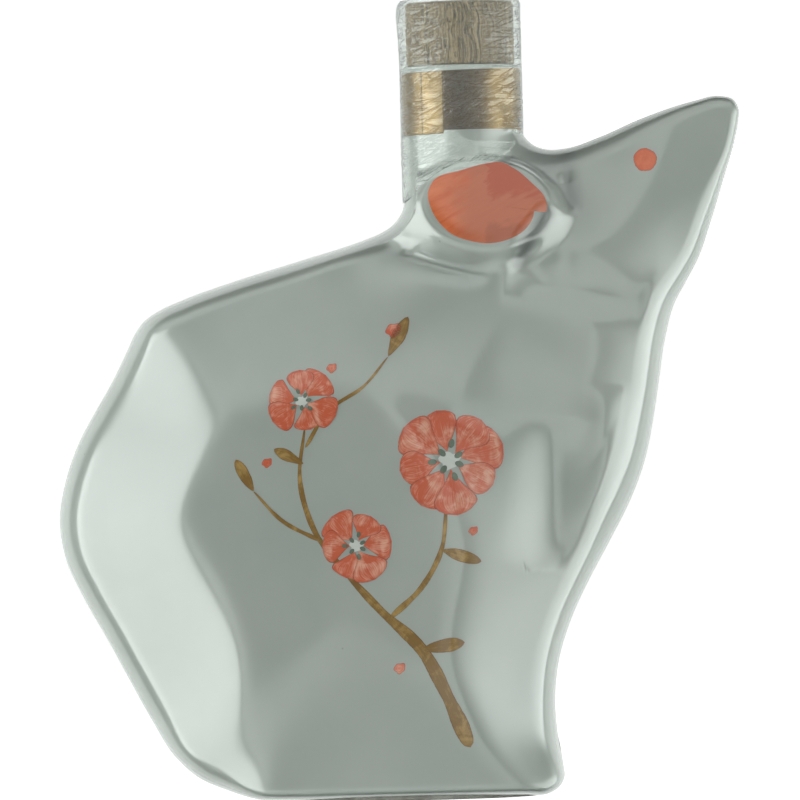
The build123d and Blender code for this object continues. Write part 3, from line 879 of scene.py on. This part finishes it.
def make_flower(index, centre, radius, petals, turned):
    """An open flower: round-tipped petals about a pale eye with grey-green stamens."""
    middle, order = np.array(centre), np.arange(petals)
    angles = turned + order * 360 / petals + 7.0 * np.sin(order * 2.9 + index)
    sizes = 1 + 0.11 * np.sin(order * 2.3 + index)
    width = radius * 2 * np.pi / petals * 0.94
    start = 0.16 * radius
    painted(f"painted_flower_{index}",
            [petal(middle + start * heading(angle), angle, (radius - start) * size, width * size, 0.5)
             for angle, size in zip(angles, sizes)], "petal_red", LAYER * 2)
    eye = oval(centre, radius * 0.2, radius * 0.17, turned, 0.12)
    painted(f"painted_eye_{index}", [eye], "paint_white", LAYER * 6)
    stamens = np.arange(7)
    reaches = radius * (0.20 + 0.12 * (stamens % 2))
    angles = turned + stamens * 360 / len(stamens) + 20
    painted(f"painted_stamens_{index}",
            [oval(middle + reach * heading(angle), radius * 0.085, radius * 0.055, angle)
             for reach, angle in zip(reaches, angles)], "stamen_green", LAYER * 7)


def make_spray():
    """A generic spray of stems, slender leaves, berries and open flowers on the near flank."""
    painted("painted_stems", [stroke(*row) for row in SPRAY["stems"]], "stem_ochre", LAYER)
    painted("painted_leaves", [petal(*row, 0.8) for row in SPRAY["leaves"]], "stem_ochre", LAYER * 2)
    for index, row in enumerate(SPRAY["flowers"], 1):
        make_flower(index, *row)
    painted("painted_berries", [oval(centre, size, size * 0.85, 30.0, 0.08)
                                for centre, size in SPRAY["berries"]], "petal_red", LAYER)


# Edge of the ear's colour: cut straight by the film's hem at the top, pointed and notched in front
EAR_EDGE = [
    (37.3, 146.7), (36.7, 148.6), (33.6, 152.2), (29.5, 155.8), (25.8, 157.6), (23.2, 157.4),
    (16.5, 155.8), (9.1, 153.1), (7.9, 150.6), (8.6, 146.1), (10.7, 142.5), (13.5, 139.9),
    (18.0, 138.1), (22.7, 137.4), (27.5, 138.3), (31.7, 140.7), (33.7, 143.6), (34.2, 145.2),
    (35.6, 144.9), (37.0, 145.0),
]


def ear_patch_plane():
    """The ear's colour: rings of shares of its outline round its centre."""
    share, along = np.linspace(0, 1, 26), np.linspace(0, 1, 181)
    edge = smooth_curve(EAR_EDGE + EAR_EDGE[:1], along)
    plane = np.array(EAR_CENTRE) + share[:, None, None] * (edge - EAR_CENTRE)
    return plane, uv_grid(along[None], share[:, None])


def make_ears_and_eyes():
    """Orange-red ears and round eyes, on both sides."""
    eye_centre, eye_radius = (62.1, 157.5), 2.95
    patches = (("ear", *ear_patch_plane(), ear_paint()),
               ("eye", *oval(eye_centre, eye_radius, eye_radius, 0.0, 0.015), PAINT["eye_red"]))
    for side, name in ((1, "near"), (-1, "far")):
        for part, plane, uv, material in patches:
            points = on_flank(plane.reshape(-1, 2), 2 * LAYER) * (1, side, 1)
            faces = grid_faces(*plane.shape[:2])[:, ::side]
            new_piece(f"painted_{part}_{name}", points, faces, material,
                      uv=uv.reshape(-1, 2), shell=False)


def make_stage():
    """A pale floor that sweeps up behind, in metres: a profile of y and z carried along X."""
    reach, sweep_start, radius, top = 5.0, 3.8, 0.8, 4.0
    bend = np.linspace(0, np.pi / 2, 16)
    profile = [(-reach, 0.0), *zip(sweep_start + radius * np.sin(bend), radius - radius * np.cos(bend)),
               (sweep_start + radius, top)]
    points = [(x, y, z) for y, z in profile for x in (-reach, reach)]
    mesh = bpy.data.meshes.new("studio_floor")
    mesh.from_pydata(points, [], grid_faces(len(profile), 2)[:, ::-1].tolist())
    mesh.shade_smooth()
    material, tree, shader = new_material("studio_floor", Roughness=0.9, Emission_Color=(1, 1, 1, 1),
                                          Base_Color=(0.8, 0.82, 0.81, 1))
    feed(shader, Emission_Strength=tree.nodes.new("ShaderNodeLightPath").outputs["Is Camera Ray"])
    mesh.materials.append(material)
    floor = add_object("studio_floor", mesh)
    floor.visible_glossy = False


# Light panels, in metres and degrees: name, azimuth of the middle, distance, half width, lowest and
# highest z, strength, and the shares of its width and height over which it fades at its four edges
PANELS = [
    ("left_panel", -68.0, 1.0, 0.70, -0.90, 0.80, 3.9, (0.10, 0.17, 0.15, 0.20)),
    ("right_panel", 72.0, 1.0, 1.25, -0.90, 0.75, 3.1, (0.43, 0.10, 0.15, 0.30)),
    ("back_panel", 180.0, 1.1, 1.60, -1.60, 1.40, 0.85, (0.05, 0.05, 0.05, 0.05)),
]
WALL_GAP_RISE = 9.0       # degrees by which the wall's dark gap lies above the camera
WALL_GAP_TURN = 11.0      # degrees by which it lies to the camera's left
WALL_GAP = (13.0, 27.0)   # degrees from its middle within which it is dark, and fully lit
WALL_BRIGHTNESS = 1.2
ROOM_BRIGHTNESS = 0.03


def make_panels():
    """Soft panels to the left, the right and behind, fading at their edges.

    A panel's brightness is its strength times smooth steps of its own place from each edge.
    """
    for name, azimuth, distance, half_width, low, high, strength, soft in PANELS:
        azimuth = np.radians(azimuth)
        middle = distance * np.array([np.sin(azimuth), -np.cos(azimuth)])
        aside = half_width * np.array([np.cos(azimuth), np.sin(azimuth)])
        corners = [(*(middle + s * aside), z) for s, z in ((-1, low), (1, low), (1, high), (-1, high))]
        mesh = bpy.data.meshes.new(name)
        mesh.from_pydata(corners, [], [(0, 1, 2, 3)])
        layer = mesh.uv_layers.new(name="UVMap")
        layer.data.foreach_set("uv", [0, 0, 1, 0, 1, 1, 0, 1])
        material, tree, shader = new_material(name, Base_Color=(0, 0, 0, 1),
                                              Emission_Color=(0.95, 1.0, 0.97, 1))
        uv = axes(tree, tree.nodes.new("ShaderNodeUVMap").outputs[0])
        glow = strength
        for edge in range(4):
            axis, far = divmod(edge, 2)
            away = number(tree, "SUBTRACT", 1.0, uv[axis]) if far else uv[axis]
            glow = number(tree, "MULTIPLY", ramp(tree, away, 0.0, soft[edge]), glow)
        feed(shader, Emission_Strength=glow)
        mesh.materials.append(material)
        panel = add_object(name, mesh)
        panel.visible_camera = False
        panel.visible_diffuse = name != "back_panel"


def make_room():
    """A dim room. Reflections also show its pale front wall, with a dark gap round the camera."""
    room = bpy.data.worlds.new("room")
    bpy.context.scene.world = room
    room.use_nodes = True
    tree = room.node_tree
    direction = tree.nodes.new("ShaderNodeTexCoord").outputs["Generated"]
    rise, turn = np.radians(WALL_GAP_RISE), np.radians(WALL_GAP_TURN)
    middle = (-np.sin(turn) * np.cos(rise), -np.cos(turn) * np.cos(rise), np.sin(rise))
    ahead = place(tree, "ShaderNodeVectorMath", {"operation": "DOT_PRODUCT"}, n0=direction,
                  n1=middle).outputs["Value"]
    dark, lit = np.cos(np.radians(WALL_GAP))
    gap = ramp(tree, ahead, lit, dark, 1.0, 0.0)
    wall = number(tree, "MULTIPLY", ramp(tree, ahead, -0.1, 0.4), gap)
    seen = number(tree, "MULTIPLY", wall, tree.nodes.new("ShaderNodeLightPath").outputs["Is Glossy Ray"])
    back = tree.nodes["Background"]
    back.inputs[0].default_value = (0.93, 0.97, 0.95, 1)
    tree.links.new(number(tree, "MULTIPLY_ADD", seen, WALL_BRIGHTNESS, ROOM_BRIGHTNESS), back.inputs[1])


def make_camera():
    """A long lens, level with the middle of the bottle and rolled a little, as in the photograph.

    Its distance, its place and the width that it sees there are in metres, and its sensor in mm.
    """
    roll, sensor = np.radians(1.4), 36.0
    distance, centre_x, centre_z, view_width = 2.25, -0.00033, 0.0992, 0.2
    camera = bpy.data.cameras.new("camera")
    camera.sensor_width = sensor
    camera.lens = sensor * distance / view_width
    camera.clip_start = 0.05
    eye = add_object("camera", camera)
    c, s = np.cos(roll), np.sin(roll)
    eye.matrix_world = Matrix(((c, s, 0, centre_x), (0, 0, -1, -distance),
                               (-s, c, 0, centre_z), (0, 0, 0, 1)))
    bpy.context.scene.camera = eye


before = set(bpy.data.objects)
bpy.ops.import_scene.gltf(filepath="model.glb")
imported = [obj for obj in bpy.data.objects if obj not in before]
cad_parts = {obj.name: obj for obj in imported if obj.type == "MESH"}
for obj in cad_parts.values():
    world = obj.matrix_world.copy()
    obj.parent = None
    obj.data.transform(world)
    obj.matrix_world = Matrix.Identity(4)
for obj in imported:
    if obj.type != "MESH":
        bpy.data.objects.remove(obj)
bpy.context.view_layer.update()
bpy.context.scene.view_settings.view_transform = "Standard"

BRUSHWORK = brushwork_group()
PAINT = {name: watercolour(name, BRUSHWORK, *washes) for name, washes in PAINT_WASHES.items()}

make_camera()
make_panels()
make_room()
make_stage()
make_body()
make_foot()
make_stopper()
make_tape()
make_film()
make_spray()
make_ears_and_eyes()
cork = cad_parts["stopper_cork"]
cork.data.materials.clear()
cork.data.materials.append(natural_cork())
